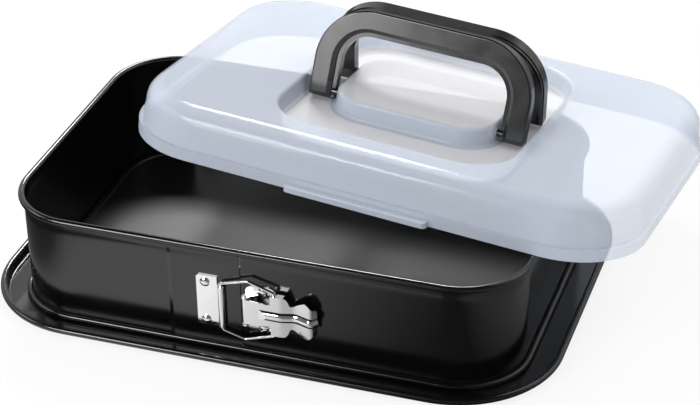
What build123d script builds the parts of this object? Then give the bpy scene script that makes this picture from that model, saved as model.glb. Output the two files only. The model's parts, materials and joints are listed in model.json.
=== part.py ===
from build123d import *
import math
import os

# Springform pan with a serving base, a clasped band and a carrying cover, in millimetres.
# Origin: centre of the base's underside. X runs along the pan, the clasp is on the -Y side.

# Band. The base and the cover take their size from it.
band_length = 378.0
band_width = 256.0
band_corner = 51.5
band_height = 85.0
band_sheet = 0.6
rim_roll = 2.5
foot_roll = 2.2
neck_depth = 0.8
neck_drop = 12.6
neck_slope = 4.0
neck_bend = 15.0
curl_slit = 0.8

# Overlap of the band's two ends at the front
seam_x = -6.0
overlap_length = 51.0
joggle_length = 3.0
layer_gap = 0.2
seam_slit = 0.4
flap_bite = 0.8

# Serving base
base_end_margin = 21.0
base_side_margin = 20.5
base_corner_margin = 24.5
base_sheet = 0.8
base_roll = 2.5
base_rim_height = 8.0
base_bend = 2.0
base_roll_turn = 320.0

# Locating rib of the base, just inside the band
rib_width = 5.0
rib_height = 1.0
rib_clearance = 1.0

# Clearances between separate pieces
seat_gap = 0.3
wire_clearance = 0.05
pivot_clearance = 0.05
rivet_clearance = 0.02

# Clasp as a whole
clasp_height = 39.3
rivet_shank = 4.0
rivet_head = 7.2
rivet_head_height = 1.9
rivet_edge = 0.4
rivet_tail = 0.6

# Hinge plate, its right side rolled round the bail
hinge_x = -19.6
hinge_plate_sheet = 1.2
hinge_plate_reach = 18.6
hinge_plate_height = 41.6
hinge_flat_width = 15.3
knuckle_height = 33.0
knuckle_drop = 1.8
knuckle_turn = 290.0
plate_chamfer = 1.5
hinge_rivet_offset = 12.2
plate_rivet_spacing = 31.2

# Wire bail
bail_wire = 2.2
bail_waist = 48.6
bail_mouth = 35.2
bail_foot = 38.0
bail_bend = 3.0
bail_corner_bend = 2.0
bail_tip_bend = 1.8
bail_tip = 3.2
bail_play = 0.3
bail_shift = -0.9
bail_skew = 1.4

# Lever bracket
bracket_sheet = 1.0
bracket_width = 22.0
bracket_height = 37.0
bracket_corner = 5.5
bracket_left = -2.0
bracket_rivet_x = 10.6
bracket_rivet_spacing = 29.6
cheek_gap = 0.3
cheek_length = 9.0
cheek_edge = 1.6

# Lever pin
lever_pin = 2.0
lever_pin_x = -1.3
lever_pin_standoff = 5.3
pin_cap_edge = 0.5
pin_cap_height = 0.6

# Clamp lever, lengths taken along X from the pan's middle
lever_sheet = 0.9
lever_eye_turn = 290.0
tongue_width = 20.4
tongue_neck = 17.2
shoulder_width = 32.0
shoulder_start = 17.7
shoulder_end = 27.0
shoulder_bend_x = 25.0
waist_width = 18.8
waist_x = 31.7
waist_bend_x = 35.0
tail_width = 28.0
tail_x = 44.5
tail_round_x = 48.6
tail_round_width = 21.0
tail_tip_width = 14.0
lever_end = 50.6
lever_dip = 2.6
tail_flare = 1.2
tail_curl = 3.4
tail_curl_length = 3.5
lever_bends = (14.0, 10.0, 2.2)
ear_depth = 4.2
ear_slot = 3.0
ear_slot_x = 20.0
lever_rib_start = 9.0
lever_rib_ramp = 6.4
lever_rib_width = 8.0
lever_rib_height = 2.4

# Cover
cover_margin = 3.0
cover_corner_margin = 7.5
cover_height = 37.0
cover_sheet = 1.2
skirt_height = 8.5
skirt_ledge = 1.5
dome_draft = 5.0
shoulder_radius = 13.0
recess_length = 180.0
recess_corner = 37.0
recess_depth = 14.5
recess_draft = 4.0
recess_lip = 3.0
island_width = 90.0
island_corner = 27.0
island_rise = 14.5
island_draft = 1.5
island_lip = 3.0
island_foot = 3.0
tab_length = 107.0
tab_reach = 6.0
tab_corner = 3.6
tab_edge = 0.8
tab_height = 4.6
tab_sheet = 1.4
boss_diameter = 10.0
boss_length = 5.0

# Place of the cover, leaning on the band's rim at its right side and at its back
right_seat = 4.1
back_seat = 16.8
seat_lift = 0.4
cover_tilt = 7.57
cover_heading = -4.44

# Carrying handles
handle_rise = 65.5
handle_drop = 6.0
handle_leg = 19.3
handle_beam = 19.5
handle_depth = 11.5
handle_corner = 42.0
handle_inner_corner = 22.0
handle_foot_corner = 3.0
handle_outer_edge = 1.4
handle_ledge = 3.1
handle_ledge_depth = 4.0
handle_bevel = 3.0
handle_lip_step = 0.7
handle_lip_depth = 2.5
handle_wall = 2.4
handle_channel = 6.4
handle_pin = 6.0
pin_engagement = 5.6
pivot_spacing = 42.0
floor_clearance = 1.2
handle_gap = 0.3
handle_side_gap = 6.25
handle_fold_gap = 10.5
island_gap = 2.45

# Values that follow from the sizes above
rim_centre = rim_roll - band_sheet - neck_depth
rim_overhang = rim_centre + rim_roll
wall_length = band_length - 2 * rim_overhang
wall_width = band_width - 2 * rim_overhang
wall_corner = band_corner - rim_overhang
wall_y = -wall_width / 2
foot_z = base_sheet + seat_gap + foot_roll
rim_z = band_height - rim_roll
neck_foot = band_height - neck_drop
layer_step = layer_gap + band_sheet
flap_y = wall_y - layer_step
joggle_x = seam_x - overlap_length
base_length = band_length + 2 * base_end_margin
base_width = band_width + 2 * base_side_margin
base_corner = band_corner + base_corner_margin
plate_y = flap_y - hinge_plate_sheet
knuckle_radius = bail_wire / 2 + pivot_clearance + hinge_plate_sheet / 2
hinge_y = flap_y - hinge_plate_sheet / 2 - knuckle_radius
hinge_rivet_x = hinge_x - hinge_rivet_offset
bracket_y = wall_y - bracket_sheet
pin_y = wall_y - lever_pin_standoff
eye_radius = lever_pin / 2 + pivot_clearance + lever_sheet / 2
lever_y = pin_y - eye_radius
lever_left = lever_pin_x - eye_radius - lever_sheet
bail_end_y = lever_y + lever_sheet / 2 + bail_play + bail_wire / 2
cheek_offset = tongue_width / 2 + cheek_gap
cover_length = band_length + 2 * cover_margin
cover_width = band_width + 2 * cover_margin
cover_corner = band_corner + cover_corner_margin
pivot_y = pivot_spacing / 2
handle_span = recess_length - 2 * handle_side_gap
island_length = handle_span - 2 * handle_leg - 2 * island_gap
recess_width = 2 * (pivot_y + handle_rise + handle_fold_gap)
recess_floor = cover_height - recess_depth
island_top = recess_floor + island_rise
pivot_z = recess_floor + handle_drop + floor_clearance
handle_diagonal = math.hypot(handle_rise, handle_depth / 2)
lean = math.degrees(
    math.asin((pivot_y - handle_gap / 2) / handle_diagonal) - math.atan2(handle_depth / 2, handle_rise)
)


def loop(length, width, corner, start_x=0.0, end_x=0.0):
    """Rounded rectangle that starts and ends on its front side, run through to the right."""
    x, y = length / 2, width / 2
    lower_right = (x - corner, -y + corner)
    upper_right = (x - corner, y - corner)
    upper_left = (-x + corner, y - corner)
    lower_left = (-x + corner, -y + corner)
    edges = [
        Line((start_x, -y), (x - corner, -y)),
        CenterArc(lower_right, corner, -90, 90),
        Line((x, -y + corner), (x, y - corner)),
        CenterArc(upper_right, corner, 0, 90),
        Line((x - corner, y), (-x + corner, y)),
        CenterArc(upper_left, corner, 90, 90),
        Line((-x, y - corner), (-x, -y + corner)),
        CenterArc(lower_left, corner, 180, 90),
        Line((-x + corner, -y), (end_x, -y)),
    ]
    return Wire(edges)


def front_plane(x, y):
    """Cross-section plane on the front side: first axis outward, second axis up."""
    return Plane(origin=(x, y, 0), x_dir=(0, -1, 0), z_dir=(-1, 0, 0))


def facing_plane(x, y, z):
    """Upright plane seen from the front: first axis right, second axis up, normal toward -Y."""
    return Plane(origin=(x, y, z), x_dir=(1, 0, 0), z_dir=(0, -1, 0))


def swept_loop(section, length, width, corner, start_x=0.0, end_x=0.0):
    path = loop(length, width, corner, start_x, end_x)
    return sweep(front_plane(start_x, -width / 2) * section, path=path)


def at_height(z):
    return Plane.XY.offset(z)


# Band


def curl(centre_x, centre_z, radius, sheet, slit_side):
    """Rolled edge with a slit between its end and the wall. A slit_side of 0 leaves it closed."""
    section = Pos(centre_x, centre_z) * (Circle(radius) - Circle(radius - sheet))
    if slit_side:
        slit_x = centre_x - radius + sheet + curl_slit / 2
        section -= Pos(slit_x, centre_z + slit_side * radius * 0.75) * Rectangle(curl_slit, radius * 0.9)
    return section


def rim_curl(slit_side):
    return curl(rim_centre, rim_z, rim_roll, band_sheet, slit_side)


def foot_curl(slit_side):
    return curl(foot_roll - band_sheet, foot_z, foot_roll, band_sheet, slit_side)


def wall_section(bottom, top):
    """Band's sheet in section, with the neck that is pressed in below its rim."""
    middle = -band_sheet / 2
    line = FilletPolyline(
        (middle, bottom),
        (middle, neck_foot),
        (middle - neck_depth, neck_foot + neck_slope),
        (middle - neck_depth, top),
        radius=neck_bend,
    )
    return trace(line, band_sheet)


def make_band():
    section = wall_section(foot_z, rim_z) + rim_curl(-1) + foot_curl(1)
    strip = swept_loop(section, wall_length, wall_width, wall_corner, seam_x + seam_slit / 2, joggle_x)
    run = seam_x - seam_slit / 2 - joggle_x
    rolls = rim_curl(0) + foot_curl(0)
    flap_rolls = extrude(front_plane(joggle_x + run, wall_y) * rolls, amount=run)
    flap_section = wall_section(foot_z + foot_roll - flap_bite, rim_z - rim_roll + flap_bite)
    joggle = extrude(
        front_plane(joggle_x - joggle_length, wall_y) * flap_section,
        amount=math.hypot(joggle_length, layer_step),
        dir=(joggle_length, -layer_step, 0),
    )
    flap = extrude(front_plane(joggle_x, flap_y) * flap_section, amount=run, dir=(1, 0, 0))
    tongue_bottom = foot_z + foot_roll + layer_gap
    tongue_height = neck_foot - neck_slope / 2 - tongue_bottom
    tongue_length = run - 2 * layer_gap
    tongue = Pos(
        seam_x + seam_slit - tongue_length / 2, wall_y + band_sheet / 2, tongue_bottom + tongue_height / 2
    ) * Box(tongue_length, band_sheet, tongue_height)
    band = strip + flap_rolls + flap + joggle + tongue
    band -= rivet_holes(hinge_rivet_x, plate_rivet_spacing, flap_y + band_sheet, flap_y)
    band -= rivet_holes(bracket_rivet_x, bracket_rivet_spacing, wall_y + band_sheet, wall_y)
    return band


def make_rim_wire():
    radius = rim_roll - band_sheet - wire_clearance
    return swept_loop(Pos(rim_centre, rim_z) * Circle(radius), wall_length, wall_width, wall_corner)


# Serving base


def base_rim_section():
    """Flange turned up into a rolled edge, measured outward from the base's edge."""
    radius = base_roll - base_sheet / 2
    centre = (-base_roll, base_rim_height - base_roll)
    upright = -base_roll - radius
    rise = FilletPolyline(
        (upright - 2 * base_bend, base_sheet / 2),
        (upright, base_sheet / 2),
        (upright, centre[1]),
        radius=base_bend,
    )
    roll = CenterArc(centre, radius, 180, -base_roll_turn)
    return trace(rise, base_sheet) + trace(roll, base_sheet)


def make_base():
    rim = swept_loop(base_rim_section(), base_length, base_width, base_corner)
    inset = 2 * base_roll + 2 * base_bend - base_sheet
    floor = extrude(
        RectangleRounded(base_length - 2 * inset, base_width - 2 * inset, base_corner - inset),
        amount=base_sheet,
    )
    rib_inset = band_sheet + rib_clearance + rib_width / 2
    rib_loop = (wall_length - 2 * rib_inset, wall_width - 2 * rib_inset, wall_corner - rib_inset)
    crown = make_face(Polyline(
        (-rib_width / 2, 0),
        (-rib_width / 2 + rib_height, rib_height),
        (rib_width / 2 - rib_height, rib_height),
        (rib_width / 2, 0),
        close=True,
    ))
    rib = swept_loop(Pos(0, base_sheet) * crown, *rib_loop)
    groove = swept_loop(crown, *rib_loop)
    return floor + rim + rib - groove


def make_base_wire():
    radius = base_roll - base_sheet - wire_clearance
    section = Pos(-base_roll, base_rim_height - base_roll) * Circle(radius)
    return swept_loop(section, base_length, base_width, base_corner)


# Clasp


def heights(spacing):
    return (clasp_height - spacing / 2, clasp_height + spacing / 2)


def rivet_holes(x, spacing, y_back, y_front):
    circle = Circle(rivet_shank / 2 + rivet_clearance)
    return [extrude(facing_plane(x, y_back, z) * circle, amount=y_back - y_front) for z in heights(spacing)]


def make_rivets(x, spacing, y_seat, y_back, tail):
    """Pair of button-headed rivets seated at y_seat, with a flat tail of that height behind y_back."""
    shank, half = rivet_shank / 2, rivet_head / 2
    grip = y_back - y_seat
    profile = [(0, -grip - tail)]
    if tail:
        profile += [(half - tail, -grip - tail), (half - tail, -grip)]
    profile += [(shank, -grip), (shank, 0), (half, 0), (half, rivet_edge)]
    crown = rivet_head_height - rivet_edge
    radius = (half**2 + crown**2) / (2 * crown)
    middle = math.asin(half / radius) / 2
    arc_point = (radius * math.sin(middle), rivet_head_height - radius + radius * math.cos(middle))
    dome = ThreePointArc((half, rivet_edge), arc_point, (0, rivet_head_height))
    outline = make_face([Polyline(*profile), dome, Line((0, rivet_head_height), (0, -grip - tail))])
    rivet = revolve(Plane.XZ * outline, axis=Axis.Z)
    return Compound(children=[facing_plane(x, y_seat, z) * rivet for z in heights(spacing)])


def make_hinge_plate():
    left = hinge_x - hinge_plate_reach
    flat_right = left + hinge_flat_width
    middle_y = flap_y - hinge_plate_sheet / 2
    flat = trace(Line((left, middle_y), (hinge_x, middle_y)), hinge_plate_sheet)
    roll = trace(CenterArc((hinge_x, hinge_y), knuckle_radius, 90, -knuckle_turn), hinge_plate_sheet)
    bottom = clasp_height - hinge_plate_height / 2
    plate = extrude(at_height(bottom) * (flat + roll), amount=hinge_plate_height)
    corners = [
        edge
        for edge in plate.edges().filter_by(Axis.Y)
        if edge.center().X < flat_right and abs(edge.center().Z - clasp_height) > knuckle_height / 2
    ]
    plate = chamfer(corners, plate_chamfer)
    knuckle_middle = clasp_height - knuckle_drop
    knuckle_room = Pos(flat_right + hinge_plate_reach / 2, hinge_y, knuckle_middle) * (
        Box(hinge_plate_reach, hinge_plate_reach, 2 * hinge_plate_height)
        - Box(2 * hinge_plate_reach, 2 * hinge_plate_reach, knuckle_height)
    )
    plate -= knuckle_room
    plate -= rivet_holes(hinge_rivet_x, plate_rivet_spacing, flap_y, plate_y)
    return plate


def bail_point(x, z):
    """Point of the bail's plane, which runs from the knuckle to the lever's slots."""
    share = (x - hinge_x) / (ear_slot_x - hinge_x)
    return (x, hinge_y + share * (bail_end_y - hinge_y), clasp_height + z - (1 - share) * knuckle_drop)


def make_bail():
    waist_middle = (hinge_x + ear_slot_x) / 2 + bail_shift
    tip = bail_mouth / 2 - bail_tip
    points = [
        bail_point(ear_slot_x, -tip),
        bail_point(ear_slot_x, -bail_mouth / 2),
        bail_point(waist_middle - bail_skew, -bail_waist / 2),
        bail_point(hinge_x, -bail_foot / 2),
        bail_point(hinge_x, bail_foot / 2),
        bail_point(waist_middle + bail_skew, bail_waist / 2),
        bail_point(ear_slot_x, bail_mouth / 2),
        bail_point(ear_slot_x, tip),
    ]
    radii = [bail_tip_bend, bail_bend, bail_corner_bend, bail_corner_bend, bail_bend, bail_tip_bend]
    path = FilletPolyline(*points, radius=radii)
    start = Plane(origin=path @ 0, z_dir=path % 0)
    return sweep(start * Circle(bail_wire / 2), path=path)


def make_bracket():
    middle_y = wall_y - bracket_sheet / 2
    plate = Pos(bracket_left + bracket_width / 2, middle_y, clasp_height) * Box(
        bracket_width, bracket_sheet, bracket_height
    )
    bracket = fillet(plate.edges().filter_by(Axis.Y), bracket_corner)
    reach = lever_pin / 2 + cheek_edge
    foot_left = (bracket_left, middle_y)
    foot_right = (lever_pin_x + cheek_length, middle_y)
    eye_left = (lever_pin_x - reach, pin_y)
    eye_right = (lever_pin_x + reach, pin_y)
    cheek = make_face([
        Line(foot_right, foot_left),
        Line(foot_left, eye_left),
        ThreePointArc(eye_left, (lever_pin_x, pin_y - reach), eye_right),
        Line(eye_right, foot_right),
    ])
    cheek -= Pos(lever_pin_x, pin_y) * Circle(lever_pin / 2 + rivet_clearance)
    for z in (clasp_height + cheek_offset, clasp_height - cheek_offset - bracket_sheet):
        bracket += extrude(at_height(z) * cheek, amount=bracket_sheet)
    bracket -= rivet_holes(bracket_rivet_x, bracket_rivet_spacing, wall_y, bracket_y)
    return bracket


def make_lever_pin():
    half = cheek_offset + bracket_sheet
    pin = Pos(lever_pin_x, pin_y, clasp_height) * Cylinder(lever_pin / 2, 2 * half)
    for side in (-1, 1):
        cap_z = clasp_height + side * (half + pin_cap_height / 2)
        pin += Pos(lever_pin_x, pin_y, cap_z) * Cylinder(lever_pin / 2 + pin_cap_edge, pin_cap_height)
    return pin


def lever_line(offset, bends):
    """Lever in plan, from above the pin to the curled tail, offset from the middle of its sheet."""
    y = lever_y + offset
    return FilletPolyline(
        (lever_pin_x, y),
        (shoulder_bend_x, y),
        (waist_bend_x, y + lever_dip),
        (lever_end - tail_curl_length, y - tail_flare),
        (lever_end, y - tail_flare + tail_curl),
        radius=bends,
    )


def lever_outline():
    """Front view of the lever about its own axis."""
    shoulder = shoulder_width / 2
    far = lever_end + lever_sheet
    upper = [
        Line((lever_left, tongue_width / 2), (shoulder_start, tongue_neck / 2)),
        Line((shoulder_start, tongue_neck / 2), (shoulder_start, shoulder)),
        Line((shoulder_start, shoulder), (shoulder_end, shoulder)),
        Spline(
            (shoulder_end, shoulder),
            (waist_x, waist_width / 2),
            (tail_x, tail_width / 2),
            (tail_round_x, tail_round_width / 2),
            (far, tail_tip_width / 2),
            tangents=[(1, -0.3), (0.3, -1)],
        ),
        Line((far, tail_tip_width / 2), (far, 0)),
        Line((far, 0), (lever_left, 0)),
        Line((lever_left, 0), (lever_left, tongue_width / 2)),
    ]
    half = make_face(upper)
    return half + mirror(half, about=Plane.XZ)


def ridge(width, height, face_offset):
    """Half-round bar along the lever, its flat side at face_offset from the middle of the sheet."""
    line = Pos(0, 0, clasp_height) * lever_line(face_offset, lever_bends)
    section = make_face([
        Line((-width / 2, 0), (width / 2, 0)),
        ThreePointArc((width / 2, 0), (0, height), (-width / 2, 0)),
    ])
    start = Plane(origin=line @ 0, x_dir=(0, 0, 1), z_dir=line % 0)
    return sweep(start * section, path=line)


def pressed_rib(lever):
    """Adds the rib, which starts with a ramp, and hollows it from behind."""
    face_y = lever_y - lever_sheet / 2
    clear_y = face_y - 2 * lever_rib_height
    ramp_end = lever_rib_start + lever_rib_ramp
    above_ramp = make_face(Polyline(
        (lever_left, face_y),
        (lever_rib_start, face_y),
        (ramp_end, face_y - lever_rib_height),
        (ramp_end, clear_y),
        (lever_left, clear_y),
        close=True,
    ))
    bottom = at_height(clasp_height - lever_rib_width)
    trim = extrude(bottom * above_ramp, amount=2 * lever_rib_width)
    raised = ridge(lever_rib_width, lever_rib_height, -lever_sheet / 2 + pivot_clearance) - trim
    hollow = ridge(lever_rib_width - 2 * lever_sheet, lever_rib_height, lever_sheet / 2 + pivot_clearance)
    before_hollow = Pos(lever_left, lever_y, clasp_height) * Box(
        2 * (ramp_end - lever_left), 4 * lever_rib_height, 2 * lever_rib_width
    )
    return lever + raised - (hollow - before_hollow)


def make_lever():
    eye = CenterArc((lever_pin_x, pin_y), eye_radius, -90, -lever_eye_turn)
    plan = trace(lever_line(0, lever_bends), lever_sheet) + trace(eye, lever_sheet)
    blank = extrude(at_height(clasp_height - shoulder_width / 2) * plan, amount=shoulder_width)
    outline = facing_plane(0, lever_y + shoulder_width / 2, clasp_height) * lever_outline()
    lever = pressed_rib(blank & extrude(outline, amount=shoulder_width))
    ear_length = shoulder_end - shoulder_start
    for side in (-1, 1):
        z = clasp_height + side * (shoulder_width - lever_sheet) / 2
        lever += Pos(shoulder_start + ear_length / 2, lever_y + ear_depth / 2, z) * Box(
            ear_length, ear_depth, lever_sheet
        )
    through = shoulder_width + 2 * lever_sheet
    slot = Pos(ear_slot_x, bail_end_y + ear_depth / 2, clasp_height) * Box(ear_slot, ear_depth, through)
    slot_end = Pos(ear_slot_x, bail_end_y, clasp_height) * Cylinder(ear_slot / 2, through)
    slot_end -= Pos(ear_slot_x, lever_y, clasp_height) * Box(2 * ear_slot, lever_sheet, through)
    return lever - [slot, slot_end]


def clasp_pieces():
    return {
        "hinge_plate": make_hinge_plate(),
        "hinge_plate_rivets": make_rivets(
            hinge_rivet_x, plate_rivet_spacing, plate_y, flap_y + band_sheet, 0
        ),
        "wire_bail": make_bail(),
        "lever_bracket": make_bracket(),
        "bracket_rivets": make_rivets(
            bracket_rivet_x, bracket_rivet_spacing, bracket_y, wall_y + band_sheet, rivet_tail
        ),
        "lever_pin": make_lever_pin(),
        "clamp_lever": make_lever(),
    }


# Cover


def tapered(length, width, corner, low, high, widening):
    """Rounded block that gains widening on every side from its low to its high end."""
    return loft([
        at_height(low) * RectangleRounded(length, width, corner),
        at_height(high) * RectangleRounded(length + 2 * widening, width + 2 * widening, corner + widening),
    ])


def cover_form(skin, foot):
    """Outer form of the cover, drawn in by skin on every face. It starts foot below its lower edge."""
    skirt_outline = RectangleRounded(cover_length - 2 * skin, cover_width - 2 * skin, cover_corner - skin)
    skirt = extrude(at_height(-foot) * skirt_outline, amount=foot + skirt_height - skin)
    inset = skirt_ledge + skin
    top = cover_height - skin
    dome = tapered(
        cover_length - 2 * inset, cover_width - 2 * inset, cover_corner - inset, 0, top, -dome_draft
    )
    dome = fillet(dome.edges().group_by(Axis.Z)[-1], shoulder_radius - skin)
    floor = recess_floor - skin
    grow = skin - recess_draft
    recess = tapered(
        recess_length + 2 * grow, recess_width + 2 * grow, recess_corner + grow, floor, top, recess_draft
    )
    form = skirt + dome - recess
    near_x = recess_length / 2 + 2 * skin
    near_y = recess_width / 2 + 2 * skin
    top_edges = form.edges().group_by(Axis.Z)[-1]
    rim = [edge for edge in top_edges if abs(edge.center().X) < near_x and abs(edge.center().Y) < near_y]
    form = fillet(rim, recess_lip - skin)
    spread = island_draft - skin
    island = tapered(
        island_length + 2 * spread,
        island_width + 2 * spread,
        island_corner + spread,
        floor,
        island_top - skin,
        -island_draft,
    )
    island = fillet(island.edges().group_by(Axis.Z)[-1], island_lip - skin)
    form += island
    foot_x = island_length / 2 + 2 * island_draft
    foot_y = island_width / 2 + 2 * island_draft
    floor_edges = [edge for edge in form.edges() if abs(edge.center().Z - floor) < seat_gap]
    foot_line = [e for e in floor_edges if abs(e.center().X) < foot_x and abs(e.center().Y) < foot_y]
    return fillet(foot_line, island_foot + skin)


def make_tab(side):
    """Grip lip on the long side's skirt, open underneath."""
    reach = tab_reach + cover_sheet
    outer = RectangleRounded(tab_length, 2 * reach, tab_corner)
    inner = RectangleRounded(tab_length - 2 * tab_sheet, 2 * (reach - tab_sheet), tab_corner - tab_sheet)
    lip = extrude(outer, amount=tab_height)
    lip = fillet(lip.edges().group_by(Axis.Z)[-1], tab_edge)
    lip -= extrude(inner, amount=tab_height - tab_sheet)
    lip &= Pos(0, reach, tab_height / 2) * Box(2 * tab_length, 2 * reach, 2 * tab_height)
    lip = Pos(0, cover_width / 2 - cover_sheet, 0) * lip
    return lip if side > 0 else mirror(lip, about=Plane.XZ)


def pivot_rod(radius, x_near, x_far, side, y):
    rod_plane = Plane(origin=(side * x_near, y, pivot_z), z_dir=(side, 0, 0))
    return extrude(rod_plane * Circle(radius), amount=x_far - x_near)


def make_cover():
    outside = cover_form(0, 0)
    shell = outside - cover_form(cover_sheet, skirt_height)
    boss_x = island_length / 2 - boss_length
    far_x = island_length / 2 + 2 * island_draft
    for side in (-1, 1):
        shell += make_tab(side)
        for y in (-pivot_y, pivot_y):
            shell += pivot_rod(boss_diameter / 2, boss_x, far_x, side, y) & outside
            shell -= pivot_rod(handle_pin / 2 + pivot_clearance, boss_x - boss_length, far_x, side, y)
    return cover_location() * shell


def cover_location():
    """Place of the cover: two points of its skirt lie on the band's rim and it tilts about the line between."""
    seat_z = band_height + seat_lift
    right = Vector(band_length / 2 - rim_roll, band_corner - band_width / 2 + right_seat, seat_z)
    back = Vector(band_corner - band_length / 2 + back_seat, band_width / 2 - rim_roll, seat_z)
    seat_line = back - right
    line_angle = math.degrees(math.atan2(seat_line.Y, seat_line.X))
    turn = Rot(0, 0, line_angle) * Rot(cover_tilt, 0, 0) * Rot(0, 0, cover_heading - line_angle)
    along = (turn * Pos(1, 0, 0)).position
    across = (turn * Pos(0, 1, 0)).position
    half_length = cover_length / 2 - cover_sheet / 2
    half_width = cover_width / 2 - cover_sheet / 2
    centre = right + along * (seat_line.dot(along) + half_length) + across * half_width
    return Pos(*centre) * turn


# Carrying handles


def handle_arch(inset):
    """Outer shape of a handle seen from the front, about the pivot line, drawn in by inset."""
    rise, drop = handle_rise - inset, handle_drop - inset
    arch = Pos(0, (rise - drop) / 2) * Rectangle(handle_span - 2 * inset, rise + drop)
    arch = fillet(arch.vertices().group_by(Axis.Y)[-1], handle_corner - inset)
    return fillet(arch.vertices().group_by(Axis.Y)[0], handle_foot_corner - inset)


def handle_opening(spread):
    """Finger opening of a handle, made larger by spread on every side, open at the bottom."""
    width = handle_span - 2 * handle_leg + 2 * spread
    top = handle_rise - handle_beam + spread
    height = top + 2 * handle_drop
    opening = Pos(0, top - height / 2) * Rectangle(width, height)
    return fillet(opening.vertices().group_by(Axis.Y)[-1], handle_inner_corner + spread)


def make_handle():
    """Channel-section arch standing on the pivot line, its smooth face toward -Y."""
    back = handle_depth / 2
    front_plane_of_handle = facing_plane(0, -back, 0)
    rear_plane = facing_plane(0, back, 0)
    main_depth = handle_depth - handle_lip_depth
    slab = extrude(front_plane_of_handle * handle_arch(0), amount=-main_depth)
    slab = fillet(slab.edges().group_by(Axis.Y)[0], handle_outer_edge)
    body = slab + extrude(rear_plane * handle_arch(handle_lip_step), amount=handle_lip_depth)
    body -= extrude(rear_plane * handle_opening(0), amount=handle_depth)
    body -= extrude(front_plane_of_handle * handle_opening(handle_ledge), amount=-handle_ledge_depth)
    over = handle_outer_edge
    body -= loft([
        facing_plane(0, -back - over, 0) * handle_opening(handle_ledge + handle_bevel + over),
        facing_plane(0, -back + handle_bevel, 0) * handle_opening(handle_ledge),
    ])
    channel = handle_arch(handle_wall) - handle_opening(handle_wall)
    body -= extrude(rear_plane * channel, amount=handle_channel)
    foot = Rot(0, 90, 0) * Cylinder(handle_drop, 2 * handle_span)
    above = Pos(0, 0, handle_rise) * Box(2 * handle_span, 2 * handle_depth, 2 * handle_rise)
    body &= foot + above
    leg_inner = handle_span / 2 - handle_leg
    pin_tip = island_length / 2 - pin_engagement
    for side in (-1, 1):
        pin_plane = Plane(origin=(side * pin_tip, 0, 0), z_dir=(side, 0, 0))
        body += extrude(pin_plane * Circle(handle_pin / 2), amount=leg_inner - pin_tip + handle_wall)
    return body


def placed_handle(side):
    handle = make_handle()
    if side > 0:
        handle = mirror(handle, about=Plane.XZ)
    return cover_location() * Pos(0, side * pivot_y, pivot_z) * Rot(side * lean, 0, 0) * handle


def main():
    os.makedirs("parts", exist_ok=True)
    pieces = {
        "base_plate": make_base(),
        "base_rim_wire": make_base_wire(),
        "spring_band": make_band(),
        "band_rim_wire": make_rim_wire(),
    }
    pieces.update(clasp_pieces())
    pieces["cover_shell"] = make_cover()
    pieces["front_handle"] = placed_handle(-1)
    pieces["rear_handle"] = placed_handle(1)
    for name, solid in pieces.items():
        export_step(solid, f"parts/{name}.step")


main()
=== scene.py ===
"""Springform pan with cover: finishes, studio and the photograph's camera.

Lengths are in metres, angles in degrees and colours linear.
"""

import json
import math

import bpy
from mathutils import Matrix, Vector

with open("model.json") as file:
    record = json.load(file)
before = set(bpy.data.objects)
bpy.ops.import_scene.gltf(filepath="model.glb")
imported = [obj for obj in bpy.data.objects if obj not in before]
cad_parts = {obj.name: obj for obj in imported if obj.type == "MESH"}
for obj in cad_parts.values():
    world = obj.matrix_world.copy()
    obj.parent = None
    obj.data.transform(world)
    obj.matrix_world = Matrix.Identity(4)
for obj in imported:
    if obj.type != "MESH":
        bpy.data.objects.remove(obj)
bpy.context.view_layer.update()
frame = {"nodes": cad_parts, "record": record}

# Camera of the photograph, for a frame of 700 by 405 pixels
IMAGE_WIDTH = 700
FOCAL_PIXELS = 2211.26
SENSOR_WIDTH_MM = 36.0
CAMERA_AZIMUTH = 18.99
CAMERA_ELEVATION = 31.66
CAMERA_TILT = -0.97
CAMERA_DISTANCE = 1.71169
CAMERA_TARGET = (0.00201, 0.08562, 0.0)
CAMERA_REACH = 20.0

# Colours of the finishes
BLACK_COATING = (0.0022, 0.0022, 0.0023)
CLASP_METAL = (0.92, 0.92, 0.93)
WIRE_METAL = (0.55, 0.55, 0.56)
COVER_MILK = (0.74, 0.81, 0.94)
COVER_PALER = tuple(0.8 * channel + 0.2 * 0.95 for channel in COVER_MILK)
# Painted light: a whiter colour for the recess's floor and the island's top, where the back light falls
COVER_PAINTED_LIGHT = (0.96, 0.95, 0.98)
HANDLE_BLACK = (0.004, 0.004, 0.0042)

# Half sizes of the pan's baking surface, which is duller than the rest of the coating
BAKING_HALF_SIZES = (0.188, 0.127, 0.008)
BAKING_ROUGHNESS = 0.38

# Where the tilted cover rests, and the shapes of its recess and island in its own level frame:
# half sizes, radius of the corners, and how far the painted light or its gap reaches past the outline
COVER_PLACE = (0.0665373, 0.0673002, 0.0784265)
COVER_TURN = (-6.6708, 3.5865, -4.6491)
RECESS_HALF_SIZES, RECESS_CORNER, RECESS_MARGIN = (0.090, 0.097), 0.037, 0.002
ISLAND_HALF_SIZES, ISLAND_CORNER = (0.062, 0.045), 0.027
ISLAND_TOP_MARGIN, ISLAND_FOOT_MARGIN = -0.002, 0.0045
RECESS_FLOOR_TOP, RECESS_FLOOR_BLEND = 0.0245, 0.002
OUTLINE_BLEND = 0.001
# The second alpha goes with the painted light on the recess's floor and the island's top
MILK_ALPHA, PAINTED_LIGHT_ALPHA = 0.42, 0.60

# Light of the studio. The backdrop's strength in reflections goes by the ray's height and by how far it points back.
SOFT_LIGHT = 0.78
BACKDROP_BY_HEIGHT = {"low": 1.0, "high": 0.05, "source_low": 0.58, "source_high": 0.74}
BACKDROP_BY_DEPTH = {"low": 0.18, "high": 1.0, "source_low": -0.30, "source_high": 0.30}
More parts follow.
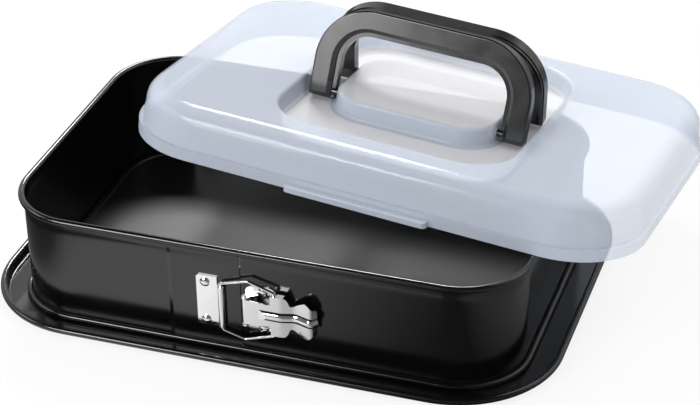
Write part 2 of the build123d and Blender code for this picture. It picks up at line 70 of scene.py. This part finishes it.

# Floor, and its painted reflection: in reflections it glows with a brightness graded by its distance to the right,
# which paints lighter and darker reflections on the pan
FLOOR_SIZE = 6.0
FLOOR_DROP = 0.0003
FLOOR_COLOUR = (0.90, 0.90, 0.90)
FLOOR_WHITENESS = 0.85
FLOOR_PAINTED_REFLECTION = (
    (-0.30, 0.06),
    (-0.23, 0.15),
    (-0.17, 0.95),
    (-0.06, 0.95),
    (0.01, 0.60),
    (0.09, 0.18),
    (0.12, 0.07),
    (0.18, 0.05),
    (0.26, 0.30),
)
FLOOR_PAINTED_REFLECTION_REACH = 0.4

# Lamps: position, target, size and power in watts
LAMPS = {
    "softbox_back": ((-0.40, 1.18, 1.18), (0.0, 0.0, 0.05), (0.42, 0.30), 15.0),
    "softbox_top": ((0.62, 0.30, 0.85), (0.14, 0.02, 0.1), (0.7, 0.6), 1.7),
    "softbox_left": ((-1.6, -0.5, 0.9), (0.0, 0.0, 0.05), (0.8, 0.8), 5.0),
    "softbox_fill": ((-0.8, -1.35, 0.9), (0.0, 0.0, 0.05), (0.8, 0.5), 12.0),
    "softbox_front": ((-0.41, -0.83, 0.33), (0.0, 0.06, 0.15), (0.15, 0.30), 0.55),
}
SPARED_BY_BACK_LAMP = ("front_handle", "rear_handle")


def new_material(name):
    """Material with a Principled shader on its output. Returns the material, its nodes and links, and the shader."""
    material = bpy.data.materials.new(name)
    material.use_nodes = True
    nodes, links = material.node_tree.nodes, material.node_tree.links
    nodes.clear()
    output = nodes.new("ShaderNodeOutputMaterial")
    shader = nodes.new("ShaderNodeBsdfPrincipled")
    links.new(shader.outputs["BSDF"], output.inputs["Surface"])
    return material, nodes, links, shader


def object_position(nodes):
    return nodes.new("ShaderNodeTexCoord").outputs["Object"]


def noise(nodes, links, position, scale, detail=3.0):
    texture = nodes.new("ShaderNodeTexNoise")
    texture.inputs["Scale"].default_value = scale
    texture.inputs["Detail"].default_value = detail
    links.new(position, texture.inputs["Vector"])
    return texture.outputs["Fac"]


def ranged(nodes, links, value, low, high, source_low=0.3, source_high=0.7):
    """Maps a value to low..high, from the usual range of a noise unless another is given."""
    node = nodes.new("ShaderNodeMapRange")
    node.inputs["From Min"].default_value = source_low
    node.inputs["From Max"].default_value = source_high
    node.inputs["To Min"].default_value = low
    node.inputs["To Max"].default_value = high
    links.new(value, node.inputs["Value"])
    return node.outputs["Result"]


def combined(nodes, links, operation, first, second):
    """MAXIMUM or MULTIPLY of two sockets, or of a socket and a number."""
    node = nodes.new("ShaderNodeMath")
    node.operation = operation
    links.new(first, node.inputs[0])
    if isinstance(second, float):
        node.inputs[1].default_value = second
    else:
        links.new(second, node.inputs[1])
    return node.outputs[0]


def greater(nodes, links, first, second):
    return combined(nodes, links, "MAXIMUM", first, second)


def product(nodes, links, first, second):
    return combined(nodes, links, "MULTIPLY", first, second)


def mixed_colour(nodes, links, factor, first, second):
    """Mix of two colours by a factor. The first may be a socket."""
    node = nodes.new("ShaderNodeMix")
    node.data_type = "RGBA"
    if isinstance(first, tuple):
        node.inputs["A"].default_value = (*first, 1.0)
    else:
        links.new(first, node.inputs["A"])
    node.inputs["B"].default_value = (*second, 1.0)
    links.new(factor, node.inputs["Factor"])
    return node.outputs["Result"]


def vector_steps(nodes, links, value, steps):
    """Takes a vector through operations, each with a fixed second vector or None. Returns the last result."""
    for operation, operand in steps:
        node = nodes.new("ShaderNodeVectorMath")
        node.operation = operation
        links.new(value, node.inputs[0])
        if operand is not None:
            node.inputs[1].default_value = operand
        value = node.outputs["Value" if operation == "LENGTH" else "Vector"]
    return value


def axes_of(nodes, links, vector):
    node = nodes.new("ShaderNodeSeparateXYZ")
    links.new(vector, node.inputs["Vector"])
    return node.outputs


def box_reach(nodes, links, position, half_sizes):
    """Distance from the middle as a share of a box's half sizes: 1 on the box, less inside it."""
    shares = vector_steps(nodes, links, position, (("ABSOLUTE", None), ("DIVIDE", half_sizes)))
    axes = axes_of(nodes, links, shares)
    return greater(nodes, links, greater(nodes, links, axes["X"], axes["Y"]), axes["Z"])


def rounded_mask(nodes, links, position, half_sizes, corner, margin, inside=1.0, outside=0.0):
    """Goes from inside to outside across the outline of a rounded rectangle, seen from above and grown by a margin."""
    half_x, half_y = half_sizes
    steps = (
        ("ABSOLUTE", None),
        ("SUBTRACT", (half_x - corner, half_y - corner, 0.0)),
        ("MAXIMUM", (0.0, 0.0, 0.0)),
        ("MULTIPLY", (1.0, 1.0, 0.0)),
        ("LENGTH", None),
    )
    distance = vector_steps(nodes, links, position, steps)
    edge = corner + margin
    return ranged(nodes, links, distance, inside, outside, edge - OUTLINE_BLEND, edge + OUTLINE_BLEND)


def add_bump(nodes, links, shader, height, strength, distance):
    bump = nodes.new("ShaderNodeBump")
    bump.inputs["Strength"].default_value = strength
    bump.inputs["Distance"].default_value = distance
    links.new(height, bump.inputs["Height"])
    links.new(bump.outputs["Normal"], shader.inputs["Normal"])


def add_grain(nodes, links, shader, position, scale, strength, distance):
    add_bump(nodes, links, shader, noise(nodes, links, position, scale, detail=2.0), strength, distance)


def add_cloudy_colour(nodes, links, shader, cloud, colour, tint):
    """Colour that drifts with a soft noise to a tinted version of itself."""
    tinted = tuple(channel * tint for channel in colour)
    links.new(mixed_colour(nodes, links, cloud, colour, tinted), shader.inputs["Base Color"])


def coating_material():
    """Satin black non-stick coating: fine orange peel, duller on the baking surface."""
    material, nodes, links, shader = new_material("nonstick_coating")
    position = object_position(nodes)
    cloud = noise(nodes, links, position, 22.0)
    add_cloudy_colour(nodes, links, shader, cloud, BLACK_COATING, 1.35)
    gloss = ranged(nodes, links, cloud, 0.14, 0.19)
    baking = box_reach(nodes, links, position, BAKING_HALF_SIZES)
    matt = ranged(nodes, links, baking, BAKING_ROUGHNESS, 0.0, 0.97, 1.0)
    links.new(greater(nodes, links, gloss, matt), shader.inputs["Roughness"])
    shader.inputs["Specular IOR Level"].default_value = 0.75
    add_grain(nodes, links, shader, position, 900.0, 0.025, 0.0002)
    return material


def chrome_material():
    """Bright nickel plating with faint drawing marks."""
    material, nodes, links, shader = new_material("clasp_plating")
    position = object_position(nodes)
    cloud = noise(nodes, links, position, 160.0)
    shader.inputs["Metallic"].default_value = 1.0
    add_cloudy_colour(nodes, links, shader, cloud, CLASP_METAL, 0.93)
    links.new(ranged(nodes, links, cloud, 0.05, 0.12), shader.inputs["Roughness"])
    add_grain(nodes, links, shader, position, 420.0, 0.08, 0.0001)
    return material


def wire_material():
    """Plain drawn steel of the core wires."""
    material, nodes, links, shader = new_material("core_wire_steel")
    cloud = noise(nodes, links, object_position(nodes), 300.0)
    shader.inputs["Metallic"].default_value = 1.0
    add_cloudy_colour(nodes, links, shader, cloud, WIRE_METAL, 0.8)
    links.new(ranged(nodes, links, cloud, 0.3, 0.42), shader.inputs["Roughness"])
    return material


def handle_material():
    """Black moulded plastic with a fine grain."""
    material, nodes, links, shader = new_material("handle_plastic")
    position = object_position(nodes)
    cloud = noise(nodes, links, position, 45.0)
    add_cloudy_colour(nodes, links, shader, cloud, HANDLE_BLACK, 1.4)
    links.new(ranged(nodes, links, cloud, 0.16, 0.24), shader.inputs["Roughness"])
    shader.inputs["Specular IOR Level"].default_value = 1.0
    add_grain(nodes, links, shader, position, 1300.0, 0.02, 0.0002)
    return material


def painted_lighting(nodes, links, position):
    """Mask of painted light: 1 on the recess's floor and on the island's top, where the back light falls, 0 on the
    rest of the cover.
    """
    level_node = nodes.new("ShaderNodeMapping")
    level_node.vector_type = "TEXTURE"
    level_node.inputs["Location"].default_value = COVER_PLACE
    level_node.inputs["Rotation"].default_value = [math.radians(angle) for angle in COVER_TURN]
    links.new(position, level_node.inputs["Vector"])
    level = level_node.outputs["Vector"]
    recess = rounded_mask(nodes, links, level, RECESS_HALF_SIZES, RECESS_CORNER, RECESS_MARGIN)
    beyond_foot = rounded_mask(
        nodes, links, level, ISLAND_HALF_SIZES, ISLAND_CORNER, ISLAND_FOOT_MARGIN, inside=0.0, outside=1.0
    )
    island_top = rounded_mask(nodes, links, level, ISLAND_HALF_SIZES, ISLAND_CORNER, ISLAND_TOP_MARGIN)
    height = axes_of(nodes, links, level)["Z"]
    low = ranged(nodes, links, height, 1.0, 0.0, RECESS_FLOOR_TOP, RECESS_FLOOR_TOP + RECESS_FLOOR_BLEND)
    recess_floor = product(nodes, links, product(nodes, links, recess, beyond_foot), low)
    return greater(nodes, links, recess_floor, island_top)


def cover_material():
    """Milky polypropylene that lets a third of the light straight through, with painted light in the recess: its floor
    and the island's top are painted whiter and more opaque, where the back light falls.
    """
    material, nodes, links, shader = new_material("cover_polypropylene")
    position = object_position(nodes)
    painted_light = painted_lighting(nodes, links, position)
    cloud = noise(nodes, links, position, 14.0, detail=2.0)
    milk = mixed_colour(nodes, links, cloud, COVER_MILK, COVER_PALER)
    # Painted light: whiter and more opaque on the recess's floor and the island's top, where the back light falls
    links.new(mixed_colour(nodes, links, painted_light, milk, COVER_PAINTED_LIGHT), shader.inputs["Base Color"])
    links.new(ranged(nodes, links, cloud, 0.08, 0.13), shader.inputs["Roughness"])
    links.new(ranged(nodes, links, painted_light, MILK_ALPHA, PAINTED_LIGHT_ALPHA, 0.0, 1.0), shader.inputs["Alpha"])
    shader.inputs["Specular IOR Level"].default_value = 0.5
    shader.inputs["Subsurface Weight"].default_value = 0.2
    shader.inputs["Subsurface Radius"].default_value = (1.0, 1.0, 1.0)
    shader.inputs["Subsurface Scale"].default_value = 0.001
    add_grain(nodes, links, shader, position, 60.0, 0.05, 0.0005)
    return material


def dress(materials):
    """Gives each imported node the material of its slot."""
    slots = {entry["node"]: entry["material_slot"] for entry in frame["record"]["subparts"]}
    for name, node in frame["nodes"].items():
        material = materials[slots[name]]
        if not node.material_slots:
            node.data.materials.append(material)
        for slot in node.material_slots:
            slot.material = material


def mixed_shader(nodes, links, factor, first, second):
    node = nodes.new("ShaderNodeMixShader")
    for socket, source in zip(node.inputs, (factor, first, second)):
        links.new(source, socket)
    return node.outputs[0]


def seen_rays(nodes, links):
    """1 on camera, glossy and transmission rays, 0 on the rays that light the object."""
    path = nodes.new("ShaderNodeLightPath")
    reflected = greater(nodes, links, path.outputs["Is Glossy Ray"], path.outputs["Is Transmission Ray"])
    return greater(nodes, links, path.outputs["Is Camera Ray"], reflected)


def make_world():
    """Soft light. The camera sees white, and reflections a white backdrop that darkens upward and to the front."""
    world = bpy.data.worlds.new("studio")
    bpy.context.scene.world = world
    world.use_nodes = True
    nodes, links = world.node_tree.nodes, world.node_tree.links
    nodes.clear()
    soft = nodes.new("ShaderNodeBackground")
    soft.inputs["Strength"].default_value = SOFT_LIGHT
    direction = axes_of(nodes, links, nodes.new("ShaderNodeTexCoord").outputs["Generated"])
    by_height = ranged(nodes, links, direction["Z"], **BACKDROP_BY_HEIGHT)
    by_depth = ranged(nodes, links, direction["Y"], **BACKDROP_BY_DEPTH)
    backdrop = nodes.new("ShaderNodeBackground")
    links.new(product(nodes, links, by_height, by_depth), backdrop.inputs["Strength"])
    white = nodes.new("ShaderNodeBackground")
    path = nodes.new("ShaderNodeLightPath")
    seen = mixed_shader(nodes, links, path.outputs["Is Camera Ray"], backdrop.outputs[0], white.outputs[0])
    light = mixed_shader(nodes, links, seen_rays(nodes, links), soft.outputs[0], seen)
    output = nodes.new("ShaderNodeOutputWorld")
    links.new(light, output.inputs["Surface"])


def floor_painted_reflection(nodes, links, glossy):
    """Brightness of the glowing floor: 1 to the camera, and in reflections a painted reflection graded by the distance
    to the right.
    """
    right = axes_of(nodes, links, object_position(nodes))["X"]
    ramp = nodes.new("ShaderNodeValToRGB")
    links.new(ranged(nodes, links, right, 0.0, 1.0, -FLOOR_PAINTED_REFLECTION_REACH, FLOOR_PAINTED_REFLECTION_REACH), ramp.inputs["Fac"])
    stops = ramp.color_ramp.elements
    while len(stops) < len(FLOOR_PAINTED_REFLECTION):
        stops.new(0.5)
    for stop, (distance, strength) in zip(stops, FLOOR_PAINTED_REFLECTION):
        stop.position = 0.5 + 0.5 * distance / FLOOR_PAINTED_REFLECTION_REACH
        stop.color = (strength, strength, strength, 1.0)
    painted_reflection = nodes.new("ShaderNodeMix")
    painted_reflection.inputs["A"].default_value = 1.0
    links.new(ramp.outputs["Color"], painted_reflection.inputs["B"])
    links.new(glossy, painted_reflection.inputs["Factor"])
    return painted_reflection.outputs["Result"]


def make_floor():
    """Plain pale floor that keeps part of its shadows to the camera, and glows in reflections with a painted
    reflection graded by its distance to the right.
    """
    bpy.ops.mesh.primitive_plane_add(size=FLOOR_SIZE, location=(0, 0, -FLOOR_DROP))
    floor = bpy.context.object
    floor.name = "studio_floor"
    material, nodes, links, shader = new_material("studio_floor")
    shader.inputs["Base Color"].default_value = (*FLOOR_COLOUR, 1.0)
    shader.inputs["Roughness"].default_value = 0.9
    shader.inputs["Specular IOR Level"].default_value = 0.0
    glossy = nodes.new("ShaderNodeLightPath").outputs["Is Glossy Ray"]
    white = nodes.new("ShaderNodeEmission")
    # Painted reflection: in reflections the floor glows with a brightness graded along x
    links.new(floor_painted_reflection(nodes, links, glossy), white.inputs["Strength"])
    whitened = product(nodes, links, seen_rays(nodes, links), FLOOR_WHITENESS)
    share = greater(nodes, links, whitened, glossy)
    output = shader.outputs["BSDF"].links[0].to_socket
    links.new(mixed_shader(nodes, links, share, shader.outputs["BSDF"], white.outputs[0]), output)
    floor.data.materials.append(material)


def add_lamp(name, position, target, size, power):
    light = bpy.data.lights.new(name, "AREA")
    light.shape = "RECTANGLE"
    light.size, light.size_y = size
    light.energy = power
    lamp = bpy.data.objects.new(name, light)
    lamp.location = position
    direction = Vector(target) - Vector(position)
    lamp.rotation_euler = direction.to_track_quat("-Z", "Y").to_euler()
    lamp.visible_camera = False
    bpy.context.scene.collection.objects.link(lamp)
    return lamp


def spare(lamp, names):
    """Keeps a lamp's light off the named nodes."""
    spared = bpy.data.collections.new(f"{lamp.name}_spares")
    lamp.light_linking.receiver_collection = spared
    for name in names:
        spared.objects.link(frame["nodes"][name])
    for entry in spared.collection_objects:
        entry.light_linking.link_state = "EXCLUDE"


def make_lights():
    lamps = {name: add_lamp(name, *values) for name, values in LAMPS.items()}
    spare(lamps["softbox_back"], SPARED_BY_BACK_LAMP)


def make_camera():
    azimuth, elevation, tilt = (
        math.radians(angle) for angle in (CAMERA_AZIMUTH, CAMERA_ELEVATION, CAMERA_TILT)
    )
    back = Vector((
        math.sin(azimuth) * math.cos(elevation),
        -math.cos(azimuth) * math.cos(elevation),
        math.sin(elevation),
    ))
    level_right = Vector((math.cos(azimuth), math.sin(azimuth), 0))
    level_up = back.cross(level_right)
    right = math.cos(tilt) * level_right + math.sin(tilt) * level_up
    up = -math.sin(tilt) * level_right + math.cos(tilt) * level_up
    place = Vector(CAMERA_TARGET) + CAMERA_DISTANCE * back
    camera_data = bpy.data.cameras.new("camera")
    camera_data.sensor_width = SENSOR_WIDTH_MM
    camera_data.lens = FOCAL_PIXELS * SENSOR_WIDTH_MM / IMAGE_WIDTH
    camera_data.clip_end = CAMERA_REACH
    camera = bpy.data.objects.new("camera", camera_data)
    axes = Matrix((right, up, back)).transposed()
    camera.matrix_world = Matrix.Translation(place) @ axes.to_4x4()
    bpy.context.scene.collection.objects.link(camera)
    bpy.context.scene.camera = camera


dress({
    "nonstick_steel": coating_material(),
    "clasp_steel": chrome_material(),
    "core_wire": wire_material(),
    "cover_plastic": cover_material(),
    "handle_plastic": handle_material(),
})
make_world()
make_floor()
make_lights()
make_camera()
bpy.context.scene.view_settings.view_transform = "Standard"
